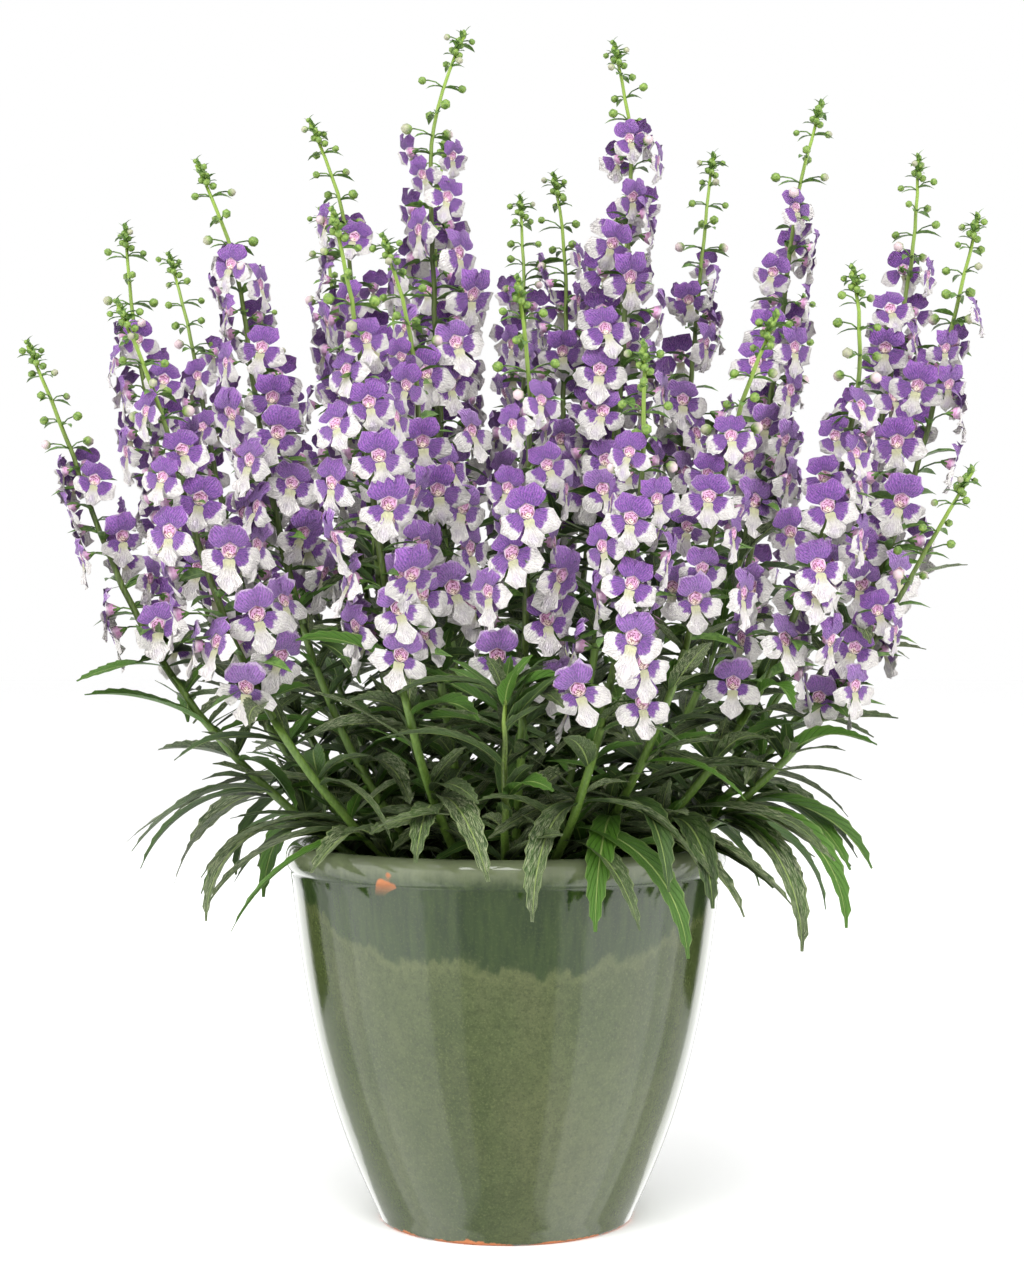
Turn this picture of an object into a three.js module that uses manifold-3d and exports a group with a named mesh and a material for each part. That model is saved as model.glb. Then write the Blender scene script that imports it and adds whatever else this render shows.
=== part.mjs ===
// A potted angelonia: a glazed planter, its soil, and a sheaf of upright stems.
// Each stem carries narrow leaves low down and ends in a spike of small flowers.
// Units are millimetres, +Z is up, and the pot stands on the plane z = 0.
import * as THREE from 'three';
import { mergeVertices } from 'three/addons/utils/BufferGeometryUtils.js';
import Module from 'manifold-3d';

const wasm = await Module();
wasm.setup();

// ---------------------------------------------------------------- driving dimensions

// Planter
const potHeight = 187;
const rimRadius = 110; // outside of the rolled lip
const lipHeight = 15;
const lipProud = 2.5; // how far the lip stands out from the wall below it
const bellyFullness = 9; // how far the wall bulges out from a straight cone
const footRadius = 62;
const footEdge = 3; // rounded corner at the foot
const potWall = 9;
const potFloor = 12;
const drainRadius = 10;
const fitGap = 0.3; // kept between pieces that touch

// Soil
const soilDrop = 23; // soil surface below the top of the rim
const soilCrown = 3; // the surface is a little higher in the middle
const crownMargin = 12; // flat soil kept around the outermost stems

// Sheaf of stems
const plantRise = 427; // soil surface to the tip of the tallest spike
const plantSpread = 484; // width across the outermost tips
const plantDepth = 420; // front to back across the outermost tips
const stemRadius = 2.2;
const flareHeight = 95; // height over which a stem's first curve outwards fades
const steadySpread = 0.0026; // outward lean that stays, per millimetre of height
const rimClearance = 7; // between the rim and the line of the outermost stem
const nodLength = 75; // length of a spike's tip that bends over

// Flower spikes
const flowerReach = 25; // stem to the face of a flower
const whorlPitch = 22; // two crossed pairs of flowers
const whorlNeck = 5;
const budReach = 5;
const bareTip = 46; // buds only, above the open flowers
const spikeSides = 6;
const spikeGap = 2; // kept between the flowers of neighbouring spikes

// Leaves
const leafLength = 78;
const leafWidth = 12.5;
const leafThickness = 1.8;
const leafPairPitch = 26;
const leafRoom = 0.5; // clear space kept around a leaf
const sliverWidth = 0.06; // thinner faces are cleaned away where a leaf joins its stem
const rimLeafLength = 86; // the leaves that hang over the rim
const rootJoint = stemRadius + 5; // round a leaf's root, where it may meet its own stem

// ---------------------------------------------------------------- finishes

const finishes = {
  glaze: new THREE.MeshStandardMaterial({ color: 0x6b7f52, roughness: 0.12, metalness: 0 }),
  soil: new THREE.MeshStandardMaterial({ color: 0x2b1f17, roughness: 0.95, metalness: 0 }),
  leaf: new THREE.MeshStandardMaterial({ color: 0x3f6134, roughness: 0.5, metalness: 0 }),
  petal: new THREE.MeshStandardMaterial({ color: 0x9465bf, roughness: 0.6, metalness: 0 }),
};

const plant = new THREE.Group();

function addPiece(name, geometry, finish) {
  const mesh = new THREE.Mesh(geometry, finish);
  mesh.name = name;
  plant.add(mesh);
}

// ---------------------------------------------------------------- joining helpers

// A closed geometry as a solid that can be joined and cut.
function toSolid(geometry) {
  const bare = geometry.clone();
  bare.deleteAttribute('normal');
  bare.deleteAttribute('uv');
  const merged = mergeVertices(bare, 1e-3);
  return new wasm.Manifold(new wasm.Mesh({
    numProp: 3,
    vertProperties: merged.attributes.position.array,
    triVerts: Uint32Array.from(merged.index.array),
  }));
}

// A joined solid as a geometry again, without the slivers that a join leaves.
function toGeometry(solid) {
  const mesh = solid.simplify(sliverWidth).getMesh();
  const geometry = new THREE.BufferGeometry();
  geometry.setAttribute('position', new THREE.BufferAttribute(mesh.vertProperties, 3));
  geometry.setIndex(new THREE.BufferAttribute(mesh.triVerts, 1));
  geometry.computeVertexNormals();
  return geometry;
}

// Two solids touch if their boxes cross and their common volume isn't empty.
function touches(a, b) {
  const boxA = a.boundingBox();
  const boxB = b.boundingBox();
  const apart = [0, 1, 2].some((k) => boxA.max[k] < boxB.min[k] || boxB.max[k] < boxA.min[k]);
  return !apart && !a.intersect(b).isEmpty();
}

// ---------------------------------------------------------------- planter

const bodyTop = potHeight - lipHeight;
const bodyTopRadius = rimRadius - lipProud;

// Outer radius of the wall at a height, below the lip.
function wallRadius(z) {
  const t = z / bodyTop;
  return footRadius + (bodyTopRadius - footRadius) * t + bellyFullness * Math.sin(Math.PI * t ** 0.85);
}

function arc(centreR, centreZ, radiusR, radiusZ, from, to, steps) {
  const points = [];
  for (let i = 0; i <= steps; i++) {
    const angle = THREE.MathUtils.degToRad(from + ((to - from) * i) / steps);
    points.push(new THREE.Vector2(
      centreR + radiusR * Math.cos(angle),
      centreZ + radiusZ * Math.sin(angle),
    ));
  }
  return points;
}

function potProfile() {
  const outer = [];
  for (let i = 1; i <= 7; i++) {
    const z = footEdge + ((bodyTop - footEdge) * i) / 7;
    outer.push(new THREE.Vector2(wallRadius(z), z));
  }
  const lipDepth = potWall + lipProud;
  const lip = arc(rimRadius - lipDepth / 2, bodyTop + lipHeight / 2, lipDepth / 2, lipHeight / 2, -60, 210, 7);
  const inner = [];
  for (let i = 3; i >= 0; i--) {
    const z = potFloor + ((bodyTop - 6 - potFloor) * i) / 3;
    inner.push(new THREE.Vector2(wallRadius(z) - potWall, z));
  }
  const profile = [
    new THREE.Vector2(drainRadius, 0),
    new THREE.Vector2(wallRadius(0) - footEdge, 0),
    new THREE.Vector2(wallRadius(footEdge), footEdge),
    ...outer,
    ...lip,
    ...inner,
    new THREE.Vector2(drainRadius, potFloor),
    new THREE.Vector2(drainRadius, 0),
  ];
  return profile;
}

const potGeometry = new THREE.LatheGeometry(potProfile(), 36);
potGeometry.rotateX(Math.PI / 2);

// ---------------------------------------------------------------- stems

const soilTop = potHeight - soilDrop;

// Where each spike ends, as shares of the half spread, the half depth and the rise,
// with the length of its flowering part, the sideways bend of its tip, and its bloom:
// 1 for a full spike, less for a spike with small or few flowers.
const sheaf = [
  { across: -0.98, back: -0.08, up: 0.635, spike: 158, nod: [-9, -2], bloom: 1 },
  { across: -0.81, back: 0.16, up: 0.79, spike: 195, nod: [4, 0], bloom: 1 },
  { across: -0.72, back: -0.62, up: 0.645, spike: 180, nod: [-12, -4], bloom: 1 },
  { across: -0.76, back: 0.47, up: 0.78, spike: 185, nod: [-8, 6], bloom: 0.9 },
  { across: -0.62, back: -0.22, up: 0.83, spike: 215, nod: [-16, -2], bloom: 1 },
  { across: -0.58, back: 0.73, up: 0.73, spike: 180, nod: [-6, 8], bloom: 0.9 },
  { across: -0.42, back: 0.1, up: 0.91, spike: 225, nod: [-18, 0], bloom: 1 },
  { across: -0.31, back: -0.8, up: 0.725, spike: 200, nod: [-8, -6], bloom: 1 },
  { across: -0.24, back: -0.42, up: 0.73, spike: 190, nod: [-14, -2], bloom: 0.9 },
  { across: -0.08, back: -0.02, up: 1, spike: 240, nod: [20, 2], bloom: 1 },
  { across: -0.13, back: 0.37, up: 0.92, spike: 215, nod: [8, 4], bloom: 1 },
  { across: 0.03, back: 0.66, up: 0.87, spike: 200, nod: [-3, 6], bloom: 0.9 },
  { across: 0.1, back: 0.3, up: 0.865, spike: 190, nod: [-9, 0], bloom: 0.85 },
  { across: 0.02, back: -0.76, up: 0.66, spike: 180, nod: [-7, -5], bloom: 1 },
  { across: 0.22, back: 0.06, up: 0.998, spike: 240, nod: [-13, 0], bloom: 1 },
  { across: 0.46, back: 0.4, up: 0.9, spike: 205, nod: [3, 3], bloom: 1 },
  { across: 0.66, back: 0.03, up: 0.925, spike: 230, nod: [9, 0], bloom: 1 },
  { across: 0.65, back: -0.5, up: 0.69, spike: 195, nod: [-15, -3], bloom: 1 },
  { across: 0.5, back: -0.68, up: 0.63, spike: 150, nod: [14, -5], bloom: 0.45 },
  { across: 0.87, back: 0.12, up: 0.87, spike: 220, nod: [-5, 1], bloom: 1 },
  { across: 0.95, back: -0.16, up: 0.775, spike: 190, nod: [2, -2], bloom: 1 },
  { across: 0.24, back: -0.9, up: 0.585, spike: 165, nod: [-5, -5], bloom: 1 },
  { across: 0.91, back: -0.36, up: 0.48, spike: 120, nod: [10, -6], bloom: 0.9 },
  { across: 0.28, back: 0.42, up: 0.86, spike: 190, nod: [3, 4], bloom: 0.9 },
  { across: -0.42, back: 0.5, up: 0.84, spike: 205, nod: [-5, 6], bloom: 1 },
  { across: -0.28, back: 0.88, up: 0.76, spike: 195, nod: [-3, 9], bloom: 1 },
  { across: 0.24, back: 0.9, up: 0.78, spike: 200, nod: [4, 9], bloom: 1 },
  { across: 0.69, back: 0.66, up: 0.74, spike: 195, nod: [7, 8], bloom: 1 },
];

// Young shoots at the edge that end in leaves and have no flowers yet.
const youngShoots = [
  { across: 0, back: -0.74, up: 0.24, spike: 0, nod: [0, -4], bloom: 0 },
  { across: -0.44, back: 0.68, up: 0.25, spike: 0, nod: [0, 4], bloom: 0 },
];

// The part of a stem's first curve that lies below a height, from 0 to 1.
function flareShare(height) {
  return 1 - Math.exp(-height / flareHeight);
}

// The flare that a stem needs above the soil to pass inside the rim and still reach its tip.
function flareNeeded({ across, back, up, nod }) {
  const tipRadius = Math.hypot((across * plantSpread) / 2 - nod[0], (back * plantDepth) / 2 - nod[1]);
  const mouthRadius = rimRadius - potWall - lipProud - rimClearance;
  const ratio = tipRadius / mouthRadius;
  const steadyAtRim = 1 + steadySpread * soilDrop;
  const steadyAtTip = 1 + steadySpread * up * plantRise;
  const gain = flareShare(up * plantRise) - ratio * flareShare(soilDrop);
  return (ratio * steadyAtRim - steadyAtTip) / gain;
}

// The stem that needs the most sets the flare of the whole sheaf.
const flareAmount = Math.max(...[...sheaf, ...youngShoots].map(flareNeeded));

// How far the sheaf has widened at a height above the soil, 1 at the soil.
// All stems share it, so they fan out from each other and never cross.
function widening(height) {
  return 1 + flareAmount * flareShare(height) + steadySpread * height;
}

// The line of a stem: its place at a height above the soil.
class StemLine extends THREE.Curve {
  constructor({ across, back, up, spike, nod, bloom }) {
    super();
    this.rise = up * plantRise;
    this.nod = nod;
    this.bloom = bloom;
    this.spikeStart = this.rise - spike;
    const tipX = (across * plantSpread) / 2 - nod[0];
    const tipY = (back * plantDepth) / 2 - nod[1];
    const wide = widening(this.rise);
    this.baseX = tipX / wide;
    this.baseY = tipY / wide;
    this.from = 0;
    this.to = this.rise;
  }

  at(height) {
    const wide = widening(height);
    const bend = Math.max(0, (height - this.rise + nodLength) / nodLength) ** 2;
    return new THREE.Vector3(
      this.baseX * wide + this.nod[0] * bend,
      this.baseY * wide + this.nod[1] * bend,
      soilTop + height,
    );
  }

  // The stretch from one height to another, for a piece that follows the stem.
  stretch(from, to) {
    const line = Object.assign(Object.create(StemLine.prototype), this);
    line.from = from;
    line.to = to;
    return line;
  }

  getPoint(t) {
    return this.at(this.from + (this.to - this.from) * t);
  }
}

const stems = sheaf.map((shape) => new StemLine(shape));
const shoots = youngShoots.map((shape) => new StemLine(shape));
const sprouts = [...stems, ...shoots];
const rootRadius = Math.max(...sprouts.map(({ baseX, baseY }) => Math.hypot(baseX, baseY)));

// ---------------------------------------------------------------- soil

function soilProfile() {
  const points = [new THREE.Vector2(0, potFloor + fitGap)];
  for (let i = 0; i <= 3; i++) {
    const z = potFloor + fitGap + ((soilTop - potFloor - fitGap) * i) / 3;
    points.push(new THREE.Vector2(wallRadius(z) - potWall - 1.2, z));
  }
  points.push(new THREE.Vector2(rootRadius + crownMargin, soilTop + soilCrown));
  points.push(new THREE.Vector2(0, soilTop + soilCrown));
  return points;
}

const soilGeometry = new THREE.LatheGeometry(soilProfile(), 36);
soilGeometry.rotateX(Math.PI / 2);

// ---------------------------------------------------------------- flower spikes

// The most a spike may reach from its stem in a direction, so that it stays on its
// own side of the middle between it and each other stem at that height.
function roomAround(stem, height, direction) {
  const centre = stem.at(height);
  let room = Infinity;
  for (const other of stems) {
    if (other !== stem && height <= other.rise + spikeGap) {
      const away = other.at(Math.min(height, other.rise)).sub(centre).setZ(0);
      const facing = direction.dot(away.clone().normalize());
      if (facing > 0) room = Math.min(room, (away.length() / 2 - spikeGap / 2) / facing);
    }
  }
  return room;
}

// Radius and height of each ring of a spike, from its foot to its tip.
function spikeRings(stem) {
  const rings = [];
  const flowerTop = stem.rise - bareTip;
  const whorls = Math.round((flowerTop - stem.spikeStart) / whorlPitch);
  const pitch = (flowerTop - stem.spikeStart) / whorls;
  for (let i = 0; i < whorls; i++) {
    const z = stem.spikeStart + pitch * i;
    const youth = Math.min(1, 0.62 + 0.14 * (whorls - i));
    rings.push({ radius: whorlNeck, height: z + pitch * 0.12 });
    rings.push({ radius: flowerReach * stem.bloom * youth, height: z + pitch * 0.42 });
  }
  rings.push({ radius: 2, height: flowerTop });
  rings.push({ radius: budReach, height: flowerTop + bareTip * 0.3 });
  rings.push({ radius: 1.6, height: flowerTop + bareTip * 0.45 });
  rings.push({ radius: budReach * 0.7, height: flowerTop + bareTip * 0.7 });
  return rings;
}

function spikeGeometry(stem) {
  const rings = spikeRings(stem);
  const foot = stem.spikeStart + fitGap;
  const profile = [
    new THREE.Vector2(0, foot),
    ...rings.map(({ radius, height }) => new THREE.Vector2(radius, height)),
    new THREE.Vector2(0, stem.rise),
  ];
  const geometry = new THREE.LatheGeometry(profile, spikeSides);
  geometry.rotateX(Math.PI / 2);
  const place = geometry.attributes.position;
  const vertex = new THREE.Vector3();
  for (let i = 0; i < place.count; i++) {
    vertex.fromBufferAttribute(place, i);
    const height = vertex.z;
    const radius = Math.hypot(vertex.x, vertex.y);
    const centre = stem.at(height);
    if (radius > 1e-6) {
      const direction = new THREE.Vector3(vertex.x, vertex.y, 0).divideScalar(radius);
      const reach = Math.min(radius, roomAround(stem, height, direction));
      centre.addScaledVector(direction, reach);
    }
    place.setXYZ(i, centre.x, centre.y, centre.z);
  }
  return geometry;
}

// ---------------------------------------------------------------- leafy stems

function toRadians(degrees) {
  return THREE.MathUtils.degToRad(degrees);
}

// Everything up to just above the crown of the soil, which trims the stems' feet flat.
function groundSolid() {
  const width = 2 * rimRadius;
  const top = soilTop + soilCrown + fitGap;
  const block = new THREE.BoxGeometry(width, width, potHeight);
  block.translate(0, 0, top - potHeight / 2);
  return toSolid(block);
}

function stemGeometry(stem, top) {
  const section = new THREE.Shape();
  const sides = 5;
  for (let i = 0; i < sides; i++) {
    const angle = (2 * Math.PI * i) / sides;
    const corner = [stemRadius * Math.cos(angle), stemRadius * Math.sin(angle)];
    if (i === 0) section.moveTo(...corner);
    else section.lineTo(...corner);
  }
  section.closePath();
  return new THREE.ExtrudeGeometry(section, {
    steps: 5,
    bevelEnabled: false,
    extrudePath: stem.stretch(0, top),
  });
}

// A lance-shaped leaf with a keel under its midrib, arching from its root.
// extra fattens it all round, for finding out whether it has room.
function leafGeometry(root, azimuth, length, rise, droop, extra) {
  const stations = 3;
  const widths = [0.3, 0.95, 0.85, 0];
  const geometry = new THREE.ConeGeometry(1, 1, 3, stations);
  const place = geometry.attributes.position;
  const outward = new THREE.Vector3(Math.cos(azimuth), Math.sin(azimuth), 0);
  const sideways = new THREE.Vector3(-Math.sin(azimuth), Math.cos(azimuth), 0);
  for (let i = 0; i < place.count; i++) {
    const t = place.getY(i) + 0.5;
    const station = Math.round(t * stations);
    const isTip = station === stations;
    const unit = isTip ? 0 : 1 / (1 - t);
    const across = place.getX(i) * unit * ((leafWidth / 2) * widths[station] + extra);
    const below = place.getZ(i) * unit * (leafThickness / 2 + extra);
    const along = (length + extra) * t;
    const tilt = rise - (droop * t) / 2;
    const point = root.clone();
    point.addScaledVector(outward, along * Math.cos(tilt));
    point.addScaledVector(sideways, across);
    point.z += along * Math.sin(tilt) - below;
    place.setXYZ(i, point.x, point.y, point.z);
  }
  return geometry;
}

const ground = groundSolid();
const potSolid = toSolid(potGeometry);
const spikeSolids = stems.map((stem) => toSolid(spikeGeometry(stem)));
const stemSolids = sprouts.map((stem) => toSolid(stemGeometry(stem, stem.spikeStart)).subtract(ground));

// Directions in which a leaf looks for room, around the one that its pair calls for.
const turnsToTry = [0, 18, -18, 36, -36, 54, -54].map(toRadians);

function growLeaf(index, { height, azimuth, length, rise, droop }) {
  const root = sprouts[index].at(height);
  const joint = new THREE.SphereGeometry(rootJoint, 8, 6);
  joint.translate(root.x, root.y, root.z);
  const neighbours = stemSolids.filter((_, i) => i !== index);
  for (const turn of turnsToTry) {
    const shape = [root, azimuth + turn, length, toRadians(rise), toRadians(droop)];
    const fat = toSolid(leafGeometry(...shape, leafRoom));
    const meetsItsStem = touches(fat.subtract(toSolid(joint)), stemSolids[index]);
    const obstacles = [potSolid, ground, ...spikeSolids, ...neighbours];
    if (!meetsItsStem && !obstacles.some((other) => touches(fat, other))) {
      stemSolids[index] = stemSolids[index].add(toSolid(leafGeometry(...shape, 0)));
      return;
    }
  }
}

// The outer stems' lowest leaves go out over the rim and hang down beside the pot.
function growRimLeaves(index) {
  const stem = sprouts[index];
  const outward = Math.atan2(stem.baseY, stem.baseX);
  const isOuter = Math.hypot(stem.baseX, stem.baseY) > rootRadius * 0.68;
  if (!isOuter) return;
  for (const side of [-24, 24]) {
    growLeaf(index, {
      height: soilDrop + 16 + side * 0.25,
      azimuth: outward + toRadians(side),
      length: rimLeafLength,
      rise: 22,
      droop: 155,
    });
  }
}

// Pairs of leaves up the stem, each pair crossing the one below it.
function growLeafPairs(index) {
  const stem = sprouts[index];
  const lowest = soilDrop + 14;
  const highest = stem.spikeStart - 12;
  const pairs = Math.max(2, Math.round((highest - lowest) / leafPairPitch));
  const outward = Math.atan2(stem.baseY, stem.baseX);
  for (let pair = 0; pair < pairs; pair++) {
    const share = pair / (pairs - 1);
    const azimuth = outward + toRadians(90 * (pair % 2) + 20 * (index % 5));
    for (const side of [0, 180]) {
      growLeaf(index, {
        height: lowest + (highest - lowest) * share,
        azimuth: azimuth + toRadians(side),
        length: leafLength * (1 - 0.35 * share),
        rise: 24 + 26 * share,
        droop: 105 - 45 * share,
      });
    }
  }
}

sprouts.forEach((_, index) => growRimLeaves(index));
sprouts.forEach((_, index) => growLeafPairs(index));

// ---------------------------------------------------------------- the whole plant

addPiece('pot', potGeometry, finishes.glaze);
addPiece('soil', soilGeometry, finishes.soil);
stems.forEach((stem, index) => {
  const number = String(index + 1).padStart(2, '0');
  addPiece(`leafy_stem_${number}`, toGeometry(stemSolids[index]), finishes.leaf);
  addPiece(`flower_spike_${number}`, spikeGeometry(stem), finishes.petal);
});
shoots.forEach((_, index) => {
  addPiece(`leafy_shoot_${index + 1}`, toGeometry(stemSolids[stems.length + index]), finishes.leaf);
});

export default plant;
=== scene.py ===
# %% [markdown]
# # A potted angelonia
#
# A glazed planter holds soil and a sheaf of upright stems. Each stem carries narrow toothed leaves
# low down and a spike of small two-lipped flowers above. The frame that is loaded first holds a plain
# solid for every piece. Each step below makes one kind of piece in full detail and puts it where its
# plain solid stands.

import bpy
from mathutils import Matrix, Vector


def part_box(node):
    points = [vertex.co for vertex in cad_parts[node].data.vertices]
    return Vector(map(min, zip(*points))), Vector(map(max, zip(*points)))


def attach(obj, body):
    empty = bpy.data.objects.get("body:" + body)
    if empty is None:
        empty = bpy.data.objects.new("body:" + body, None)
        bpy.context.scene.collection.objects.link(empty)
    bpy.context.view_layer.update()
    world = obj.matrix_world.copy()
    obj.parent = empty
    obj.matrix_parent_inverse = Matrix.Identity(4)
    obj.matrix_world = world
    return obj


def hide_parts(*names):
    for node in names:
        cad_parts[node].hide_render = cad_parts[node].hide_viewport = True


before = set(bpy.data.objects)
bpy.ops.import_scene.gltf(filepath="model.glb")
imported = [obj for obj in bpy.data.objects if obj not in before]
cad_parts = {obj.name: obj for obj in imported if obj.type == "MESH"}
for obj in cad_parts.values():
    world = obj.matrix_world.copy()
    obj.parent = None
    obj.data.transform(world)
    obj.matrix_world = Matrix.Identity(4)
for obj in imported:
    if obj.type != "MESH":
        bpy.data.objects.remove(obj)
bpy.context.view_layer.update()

# %% [markdown]
# ## Tools for the whole lesson
#
# Sizes below are written in millimetres and scaled as a mesh is made. Every random draw comes from a
# seeded generator of its own, so that the plant grows the same way each time.

# %% Imports and units
import math
import random

import bmesh
import bpy
from mathutils import Matrix, Vector, noise

MM = 0.001
UP = Vector((0, 0, 1))
WELD = 0.02 * MM  # corners closer than this become one
SPIRAL = 2.4  # turn from one leaf to the next in a tight cluster


def smooth_step(low, high, x):
    """0 below low, 1 above high, and a soft rise between them."""
    t = min(1, max(0, (x - low) / (high - low)))
    return t * t * (3 - 2 * t)


# %% [markdown]
# A finished piece is a mesh whose object stays at the origin. One function makes an object and gives it
# its materials. Another lets it ride on the frame's single body and hides the plain solids it stands
# for.

# %% Finish a piece
def make_object(name, bm, finishes):
    mesh = bpy.data.meshes.new(name)
    bm.to_mesh(mesh)
    bm.free()
    made = bpy.data.objects.new(name, mesh)
    for finish in finishes:
        mesh.materials.append(finish)
    bpy.context.scene.collection.objects.link(made)
    return made


def add_piece(name, bm, finishes, replaced):
    for face in bm.faces:
        face.smooth = True
    piece = make_object(name, bm, finishes)
    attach(piece, "root")
    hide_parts(*replaced)
    return piece


# %% [markdown]
# ## Writing materials as expressions
#
# A material is a tree of nodes. The class below wraps one socket of a tree, so that an expression such
# as `0.3 + mask * 0.5` adds the Math nodes for it. Every other node comes from `Paint.node`.

# %% A number that varies over a surface
class Value:
    def __init__(self, paint, socket):
        self.paint = paint
        self.socket = socket

    def math(self, operation, *inputs):
        return self.paint.node("ShaderNodeMath", {"operation": operation}, dict(enumerate(inputs)))

    def __add__(self, other):
        return self.math("ADD", self, other)

    def __sub__(self, other):
        return self.math("SUBTRACT", self, other)

    def __mul__(self, other):
        return self.math("MULTIPLY", self, other)

    def __truediv__(self, other):
        return self.math("DIVIDE", self, other)

    __radd__ = __add__

    def fract(self):
        return self.math("FRACT", self)

    def floor(self):
        return self.math("FLOOR", self)

    def away_from(self, middle):
        """Distance from a value, never negative."""
        return self.math("ABSOLUTE", self - middle)

    def highest(self, other):
        return self.math("MAXIMUM", self, other)

    def rise(self, low, high):
        """0 below low and 1 above high, softly. With low above high it falls instead."""
        limits = {"Value": self, "From Min": low, "From Max": high}
        return self.paint.node("ShaderNodeMapRange", {"interpolation_type": "SMOOTHSTEP"}, limits)


# %% A material in the making
def rgb(code):
    """A colour as seen on a screen, such as 7d3fb0, as the linear colour that shaders use."""
    parts = [int(code[i:i + 2], 16) / 255 for i in (0, 2, 4)]
    linear = [p / 12.92 if p <= 0.04045 else ((p + 0.055) / 1.055) ** 2.4 for p in parts]
    return (*linear, 1)


class Paint:
    def __init__(self, name, **finish):
        self.material = bpy.data.materials.new(name)
        self.material.use_nodes = True
        self.tree = self.material.node_tree
        self.surface = self.tree.nodes["Principled BSDF"]
        for socket, value in finish.items():
            self.surface.inputs[socket.replace("_", " ")].default_value = value

    def node(self, kind, settings, sockets, output=0):
        made = self.tree.nodes.new(kind)
        for name, value in settings.items():
            setattr(made, name, value)
        for name, value in sockets.items():
            if isinstance(value, Value):
                self.tree.links.new(value.socket, made.inputs[name])
            else:
                made.inputs[name].default_value = value
        return Value(self, made.outputs[output])

    def mix(self, factor, first, second):
        """The first colour where factor is 0 and the second where it is 1."""
        sockets = {0: factor, 6: first, 7: second}
        return self.node("ShaderNodeMix", {"data_type": "RGBA"}, sockets, output=2)

    def noise(self, where, scale, detail, roughness):
        sockets = {"Vector": where, "Scale": scale, "Detail": detail, "Roughness": roughness}
        return self.node("ShaderNodeTexNoise", {}, sockets)

    def cells(self, where, scale):
        """Distance to the nearest of many scattered points."""
        return self.node("ShaderNodeTexVoronoi", {}, {"Vector": where, "Scale": scale})

    def stretched(self, where, x, y, z):
        sockets = {0: where, 1: (x, y, z)}
        return self.node("ShaderNodeVectorMath", {"operation": "MULTIPLY"}, sockets)

    def position(self):
        return self.node("ShaderNodeTexCoord", {}, {}, output=3)

    def split(self, where):
        return [self.node("ShaderNodeSeparateXYZ", {}, {0: where}, output=i) for i in range(3)]

    def finish(self, colour, roughness=None, height=None, bump=0.3, depth=0.0004):
        links = {"Base Color": colour, "Roughness": roughness}
        if height is not None:
            sockets = {"Strength": bump, "Distance": depth, "Height": height}
            links["Normal"] = self.node("ShaderNodeBump", {}, sockets)
        for name, value in links.items():
            if value is not None:
                self.tree.links.new(value.socket, self.surface.inputs[name])
        return self.material


# %% [markdown]
# ## One sheet of samples for every petal and leaf
#
# Petals and leaves are painted along their own length and width. Their map is a sheet of square cells:
# a column for each kind of sheet and a row for each of eight variants. Hundreds of petals then share
# one small painting, and still don't all look alike.

# %% The map's cells
MAP_NAME = "OFBake"
VARIANTS = 8
COLUMNS = 8
CELL_MARGIN = 0.04
HOOD, WING, LIP, THROAT, GREEN, BUD, LEAF, STEM = range(COLUMNS)


def cell_place(kind, variant, across, along):
    """Where a point of a sheet lies on the map. across and along run from 0 to 1."""
    inner = 1 - 2 * CELL_MARGIN
    return (
        (kind + CELL_MARGIN + inner * across) / COLUMNS,
        (variant + CELL_MARGIN + inner * along) / VARIANTS,
    )


class SheetPaint(Paint):
    """Paint for a sheet: across and along run from 0 to 1, and tone rises from 0 to 1 with its variant."""

    def __init__(self, name, **finish):
        super().__init__(name, **finish)
        self.place = self.node("ShaderNodeUVMap", {"uv_map": MAP_NAME}, {})
        u, v, _ = self.split(self.place)
        inner = 1 - 2 * CELL_MARGIN
        self.across = ((u * COLUMNS).fract() - CELL_MARGIN) / inner
        self.along = ((v * VARIANTS).fract() - CELL_MARGIN) / inner
        self.tone = ((v * VARIANTS).floor() + 0.5) / VARIANTS


# %% [markdown]
# ## Copying small shapes
#
# A shape that is repeated is made once as a small mesh. A copy is added to a piece's mesh and then
# moved, so the piece stays one object.

# %% Sheets and copies
def map_of(bm):
    """The mesh's map, made if it has none yet."""
    return bm.loops.layers.uv.get(MAP_NAME) or bm.loops.layers.uv.new(MAP_NAME)


def sheet(bm, columns, rows, kind, variant, material, shape):
    """Adds a sheet. shape(a, t) gives its points: a from -1 to 1 across it, t from 0 to 1 along it."""
    uv = map_of(bm)
    made = bmesh.ops.create_grid(bm, x_segments=columns, y_segments=rows, size=1)["verts"]
    faces = {face for vert in made for face in vert.link_faces}
    for face in faces:
        face.material_index = material
        for loop in face.loops:
            across, along = (loop.vert.co.x + 1) / 2, (loop.vert.co.y + 1) / 2
            loop[uv].uv = cell_place(kind, variant, across, along)
    for vert in made:
        vert.co = shape(vert.co.x, (vert.co.y + 1) / 2)


def as_template(bm, name):
    """The finished shape as a small mesh that add_copy can repeat."""
    mesh = bpy.data.meshes.new(name)
    bmesh.ops.remove_doubles(bm, verts=bm.verts, dist=WELD)
    bm.to_mesh(mesh)
    bm.free()
    return mesh


def add_copy(bm, template, place):
    before = len(bm.verts)
    bm.from_mesh(template)
    bmesh.ops.transform(bm, matrix=place, verts=bm.verts[before:])


def facing(point, ahead, roll, size):
    """Places a shape at a point, with its -Y side turned towards ahead and its top kept upwards."""
    back = -Vector(ahead).normalized()
    right = back.cross(UP).normalized()
    turn = Matrix((right, back, right.cross(back))).transposed()
    turn = turn @ Matrix.Rotation(roll, 3, "Y")
    return Matrix.Translation(point) @ (turn @ Matrix.Diagonal(size)).to_4x4()


def level_way(angle):
    """The level direction at an angle from +X."""
    return Vector((math.cos(angle), math.sin(angle), 0))


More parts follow.
